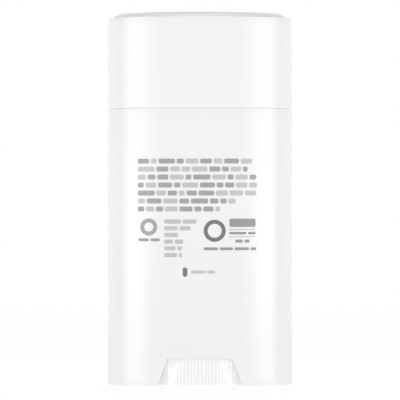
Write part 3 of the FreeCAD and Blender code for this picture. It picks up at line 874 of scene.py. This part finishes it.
INK_SKINS = (0.035 * MM, -0.02 * MM)    # the ink's two faces over the barrel's


def on_face(across, height, lift):
    """Points on the back face: the large arc's radius plus the lift, at each place across."""
    _, face_y, face_radius = oval_centres()
    return placed_points(across, face_y - np.sqrt((face_radius + lift) ** 2 - across ** 2), height)


def print_bar(x, z, half_length, half_height, corner):
    """A closed slab of ink on the back face: across, x runs to the rounded end of each line. The slab's
    two skins make a ring at each place along it, and the end rings are filled."""
    count = max(3, int(half_length / (0.5 * MM)) + 2)
    share = np.linspace(-1, 1, count)[None, :]
    rise = half_height * np.sin(np.linspace(-math.pi / 2, math.pi / 2, 7))[:, None]
    past = np.maximum(np.abs(rise) - half_height + corner, 0.0)
    reach = half_length - corner + np.sqrt(np.maximum(corner ** 2 - past ** 2, 0.0))
    across = x + share * np.maximum(reach, 0.2 * half_height)
    over, under = (on_face(across, z + rise, lift) for lift in INK_SKINS)
    points = np.concatenate([under, over[::-1]]).transpose(1, 0, 2)
    vertices, quads = grid(points)
    ring = points.shape[1]
    side = np.arange(ring // 2 - 1)
    cap = np.stack([side, side + 1, ring - 2 - side, ring - 1 - side], axis=-1)
    return vertices, np.concatenate([quads, cap, cap + len(vertices) - ring])


def print_ring(x, z, outer, inner):
    """A closed ring of ink on the back face: the angle runs round it, and its section is a flat loop of
    four corners, two on each skin."""
    angle = full_turn(40)
    radius = np.array([outer, inner, inner, outer])[:, None]
    lift = np.repeat(INK_SKINS, 2)[:, None]
    return grid(on_face(x + radius * np.cos(angle), z + radius * np.sin(angle), lift), closed=True)


PRINT_LEFT = -20.4 * MM      # where the lines of the main block begin
PRINT_TOP = 74.0 * MM        # middle of its first line
PRINT_PITCH = 2.615 * MM     # line to line
WORD_GAP = 0.62 * MM
DARK, MEDIUM, BOLD, PLAIN, PALE = 0.86, 0.64, 0.55, 0.24, 0.26      # coverage of the ink


def print_layout():
    """Rows of plain dashes, two rings, two hairlines and a few blocks. A mark is (x, z, half length, half
    height, corner, coverage); a ring is (x, z, outer radius, inner radius, coverage)."""
    draw = np.random.default_rng(11)
    marks = []

    def line(left, right, z, height, coverage, bold=0.0):
        x = left
        heavy = draw.random() < 0.5
        while x < right - 1.0 * MM:
            size = min(draw.uniform(1.8, 5.6) * MM, right - x)
            cover = BOLD if heavy and bold else coverage
            marks.append((x + size / 2, z, size / 2, height / 2, height * 0.25, cover))
            heavy = draw.random() < bold
            x += size + WORD_GAP

    for row, right in enumerate((17.2, 15.6, 18.4, 18.9, 18.4, 11.6, 6.6)):
        line(PRINT_LEFT, right * MM, PRINT_TOP - row * PRINT_PITCH, 1.6 * MM, PLAIN, bold=0.45)
    for row, right in enumerate((-1.1, -2.0, -5.6, -4.5, -5.9, -5.9)):
        line(-11.7 * MM, right * MM, 54.2 * MM - row * 2.19 * MM, 1.35 * MM, PALE)
    for left, right, z, height, coverage in (
            (-20.2, -13.2, 48.2, 0.9, MEDIUM), (9.6, 18.2, 50.4, 0.8, MEDIUM),
            (11.6, 16.2, 47.8, 1.0, MEDIUM), (1.2, 18.4, 45.3, 0.9, MEDIUM), (-2.9, 4.9, 37.7, 1.0, PLAIN)):
        line(left * MM, right * MM, z * MM, height * MM, coverage)

    def metres(*rows):
        return [(*(value * MM for value in row[:-1]), row[-1]) for row in rows]

    marks += metres((13.9, 51.6, 4.3, 0.09, 0.03, BOLD), (13.9, 49.2, 4.3, 0.09, 0.03, BOLD),
                    (13.9, 53.8, 4.3, 1.35, 0.5, MEDIUM), (-4.9, 37.7, 0.75, 1.5, 0.6, DARK))
    return marks, metres((-16.8, 52.4, 2.8, 1.5, BOLD), (4.8, 51.2, 3.6, 2.3, DARK))


class STICK_OT_print(Operator):
    """Lay the generic pad print on the back face: plain dashes and blocks"""
    bl_idname = "stick.print"
    bl_label = "Back Print"

    def execute(self, context):
        marks, rings = print_layout()
        grids = [print_bar(*mark[:5]) for mark in marks] + [print_ring(*ring[:4]) for ring in rings]
        cover = [np.full(len(vertices), mark[-1]) for (vertices, _), mark in zip(grids, marks + rings)]
        ink = ink_material(context.scene.stick_finish.ink)
        piece = new_piece("back_print", grids, "barrel", ink)
        attribute = piece.data.attributes.new("coverage", "FLOAT", "POINT")
        attribute.data.foreach_set("value", np.concatenate(cover).astype(np.float32))
        return {"FINISHED"}


# Stage

FLOOR_RADIUS = 2.5
FLOOR_DROP = 0.05 * MM      # foot to the floor
FLOOR_TONE = (0.36, 0.36, 0.36, 1.0)
NEAR_WHITE = 0.4            # share of plain white that a camera sees on the floor at the object's foot
WHITENING = (0.1, 0.8)      # distances between which the floor turns white
UNDER_RIM = (0.35, 0.75)    # shares of the foot's outline between which the under-light grows
UNDER_SHARE = 0.45          # what is left of it in the middle
KEY_AZIMUTHS = (50.0, 66.5)
KEY_DISTANCE, KEY_HEIGHT = 0.5, 0.55
LOW_DISTANCE, LOW_HEIGHT, LOW_LEVEL = 0.49, 0.07, 1.2
FADE_ANGLE, FADE_COUNT = 13.0, 3        # the weaker lamps that go on from the key towards the camera
TOP_SIZE, TOP_PLACE = (0.6, 0.32), (0, 0.16, 0.7)
BEAM_WIDTH = 4.8 * MM       # of the two narrow lamps that reach into the cut-out, beside the wheel
BEAM_MARGIN = 0.4 * MM      # cut-out's top or foot to the end of a beam
BEAM_DISTANCE = 0.1
BEAM_TURN = math.radians(6.0)
BEAM_SPREAD = math.radians(1.2)


def floor_disc():
    """A level disc: rings of growing radius round the object, a hair under its foot."""
    radius = np.linspace(0.0, 1.0, 24)[1:, None] ** 2 * FLOOR_RADIUS
    angle = full_turn(96)
    vertices, quads = grid(turned(radius, angle, -FLOOR_DROP))
    mesh = bpy.data.meshes.new("floor")
    mesh.from_pydata(vertices.tolist(), [], quads[:, ::-1].tolist() + [list(range(angle.size))])
    sheet = in_scene("floor", mesh)
    return sheet


def length_of(tree, vector):
    return add(tree, "ShaderNodeVectorMath", {0: vector}, operation="LENGTH").outputs["Value"]


def mixed(tree, share, first, second):
    """The shader of a mix: the share, a socket, of the second over the first."""
    return add(tree, "ShaderNodeMixShader", {"Fac": share, 1: first, 2: second}).outputs[0]


def graded(tree, value, limits, first, last=1.0):
    """First up to the lower limit, last from the upper one, and a smooth step between them."""
    inputs = {"Value": value, "From Min": limits[0], "From Max": limits[1], "To Min": first, "To Max": last}
    return add(tree, "ShaderNodeMapRange", inputs, interpolation_type="SMOOTHSTEP").outputs["Result"]


def mirrored(tree, path):
    """One for a ray that comes from a reflection or through something, otherwise zero."""
    return maths(tree, "MAXIMUM", path["Is Glossy Ray"], path["Is Transmission Ray"])


def floor_material(glow, look):
    """Opal acrylic over a soft under-light, weaker where the object stands on it. A camera sees a satin
    sheet under a share of plain white, which grows with the distance, so that the object's shadow
    stays, and it sees through the sheet from below. Reflections find it white further out."""
    form, _ = sizes()
    material, tree, polished = new_material("OpalAcrylic")
    satin = add(tree, "ShaderNodeBsdfPrincipled", {"Emission Strength": look})
    white = add(tree, "ShaderNodeEmission", {"Strength": 1.0}).outputs[0]
    clear = add(tree, "ShaderNodeBsdfTransparent").outputs[0]
    path = add(tree, "ShaderNodeLightPath").outputs
    backfacing = add(tree, "ShaderNodeNewGeometry").outputs["Backfacing"]
    place = add(tree, "ShaderNodeTexCoord").outputs["Object"]
    outline = {0: place, 1: (form.width / 2, form.depth / 2, 1.0)}
    rim = length_of(tree, add(tree, "ShaderNodeVectorMath", outline, operation="DIVIDE").outputs["Vector"])
    away = length_of(tree, place)

    lit = maths(tree, "MULTIPLY", path["Is Diffuse Ray"], glow)
    lit = maths(tree, "MULTIPLY", lit, graded(tree, rim, UNDER_RIM, UNDER_SHARE))
    feed(tree, polished, {"Emission Strength": lit})
    for sheet, roughness in ((polished, 0.06), (satin, 0.6)):
        feed(tree, sheet, {"Base Color": FLOOR_TONE, "Roughness": roughness, "Emission Color": (1, 1, 1, 1)})
    share = maths(tree, "MULTIPLY", mirrored(tree, path), graded(tree, away, WHITENING, 0.0))
    lighting = mixed(tree, share, polished.outputs[0], white)
    seen = mixed(tree, graded(tree, away, WHITENING, NEAR_WHITE), satin.outputs[0], white)
    above = mixed(tree, path["Is Camera Ray"], lighting, seen)
    below = maths(tree, "MULTIPLY", backfacing, path["Is Camera Ray"])
    feed(tree, tree.nodes["Material Output"], {"Surface": mixed(tree, below, above, clear)})
    return material


def surroundings(front, back):
    """A world that is white where it is seen or mirrored. Where it lights, its level grows from zero at
    the sides to front on the camera's side and to back behind the object."""
    world = bpy.data.worlds.new("Studio")
    world.use_nodes = True
    tree = world.node_tree
    place = add(tree, "ShaderNodeTexCoord").outputs["Generated"]
    y = add(tree, "ShaderNodeSeparateXYZ", {0: place}).outputs["Y"]
    level = maths(tree, "MULTIPLY", maths(tree, "MAXIMUM", y, 0.0), back)
    level = maths(tree, "MULTIPLY_ADD", maths(tree, "MINIMUM", y, 0.0), -front, level)
    path = add(tree, "ShaderNodeLightPath").outputs
    seen = maths(tree, "MAXIMUM", path["Is Camera Ray"], mirrored(tree, path))
    mix = add(tree, "ShaderNodeMix", {"Factor": seen, "A": level, "B": 1.0}, data_type="FLOAT")
    feed(tree, tree.nodes["Background"], {"Color": (1, 1, 1, 1), "Strength": mix.outputs["Result"]})
    bpy.context.scene.world = world


def rectangle_lamp(name, width, height, radiance):
    """A rectangle of light whose power is radiance times area times pi. The camera doesn't see it."""
    lamp = bpy.data.lights.new(name, "AREA")
    lamp.shape = "RECTANGLE"
    lamp.size, lamp.size_y = width, height
    lamp.energy = radiance * math.pi * width * height
    made = in_scene(name, lamp)
    made.visible_camera = False
    return made


def standing_lamp(name, start, end, distance, height, radiance):
    """A tall lamp that stands on the floor and faces the object. It fills the azimuths from start to
    end, in degrees from the camera's side towards +X."""
    width = 2 * distance * math.tan(math.radians(abs(end - start) / 2))
    made = rectangle_lamp(name, width, height, radiance)
    turn = math.radians((start + end) / 2)
    made.location = (distance * math.sin(turn), -distance * math.cos(turn), height / 2)
    made.rotation_euler = (math.pi / 2, 0, turn)


def corner_lamp(name, side, level):
    """A narrow beam from the camera's side into one corner of the cut-out, where the wheel turns away
    from the tall lamps. It crosses over the wheel and leans like the cut-out's edge."""
    form, inner = sizes()
    x = (form.cut_foot + form.cut_top) / 4 - BEAM_WIDTH / 2 + BEAM_MARGIN
    y = -math.sqrt(inner.wheel_radius ** 2 - x ** 2)
    turn = -side * BEAM_TURN
    made = rectangle_lamp(name, BEAM_WIDTH, form.cut_height - 2 * BEAM_MARGIN, level)
    made.data.spread = BEAM_SPREAD
    made.location = (side * x + BEAM_DISTANCE * math.sin(turn), y - BEAM_DISTANCE * math.cos(turn),
                     form.cut_height / 2)
    made.rotation_euler = (math.pi / 2, -side * cut_lean(), turn)


class STICK_OT_stage(Operator):
    """Set up the pale floor, the soft lamps and the camera"""
    bl_idname = "stick.stage"
    bl_label = "Stage"

    def execute(self, context):
        stage = context.scene.stick_stage
        floor_disc().data.materials.append(floor_material(stage.floor_glow, stage.floor_look))
        surroundings(stage.front_level, stage.back_level)
        rectangle_lamp("top", *TOP_SIZE, stage.top_level).location = TOP_PLACE
        start, end = KEY_AZIMUTHS
        slice_angle = FADE_ANGLE / FADE_COUNT
        for side, label in ((-1, "left"), (1, "right")):
            standing_lamp("key_" + label, side * start, side * end, KEY_DISTANCE, KEY_HEIGHT,
                          stage.key_level)
            standing_lamp("low_" + label, side * start, side * end, LOW_DISTANCE, LOW_HEIGHT, LOW_LEVEL)
            corner_lamp("corner_" + label, side, stage.corner_level)
            for step in range(FADE_COUNT):
                near = start - slice_angle * step
                share = (FADE_COUNT - step) / (FADE_COUNT + 1)
                standing_lamp(f"fade_{label}_{step}", side * near, side * (near - slice_angle),
                              KEY_DISTANCE, KEY_HEIGHT, stage.key_level * share)
        lens = bpy.data.cameras.new("camera")
        lens.sensor_width, lens.lens = 36.0, stage.focal
        lens.clip_start, lens.clip_end = 0.05, 20.0
        camera = in_scene("camera", lens)
        camera.location = (0, -stage.camera_distance, stage.camera_height)
        camera.rotation_euler = (math.pi / 2, 0, 0)
        context.scene.camera = camera
        context.scene.view_settings.view_transform = "Standard"
        return {"FINISHED"}


# Panel and registration

OPERATORS = (STICK_OT_barrel, STICK_OT_cap, STICK_OT_wheel, STICK_OT_contents, STICK_OT_print,
             STICK_OT_stage)
GROUPS = (("stick_form", StickForm), ("stick_inner", StickInner), ("stick_finish", StickFinish),
          ("stick_stage", StickStage))


class STICK_PT_panel(Panel):
    """Sizes, colours and the steps that build the stick"""
    bl_idname = "STICK_PT_panel"
    bl_label = "Twist-up Stick"
    bl_space_type = "VIEW_3D"
    bl_region_type = "UI"
    bl_category = "Stick"

    def draw(self, context):
        for key, group in GROUPS:
            box = self.layout.box()
            for name in group.__annotations__:
                box.prop(getattr(context.scene, key), name)
        for operator in OPERATORS:
            self.layout.operator(operator.bl_idname)


CLASSES = tuple(group for _, group in GROUPS) + OPERATORS + (STICK_PT_panel,)


def register():
    for made in CLASSES:
        bpy.utils.register_class(made)
    for key, group in GROUPS:
        setattr(bpy.types.Scene, key, PointerProperty(type=group))


def unregister():
    for key, _ in GROUPS:
        delattr(bpy.types.Scene, key)
    for made in reversed(CLASSES):
        bpy.utils.unregister_class(made)


def main():
    register()
    bpy.ops.stick.barrel()
    bpy.ops.stick.cap()
    bpy.ops.stick.wheel()
    bpy.ops.stick.contents()
    bpy.ops.stick.print()
    bpy.ops.stick.stage()


if __name__ == "__main__":
    main()
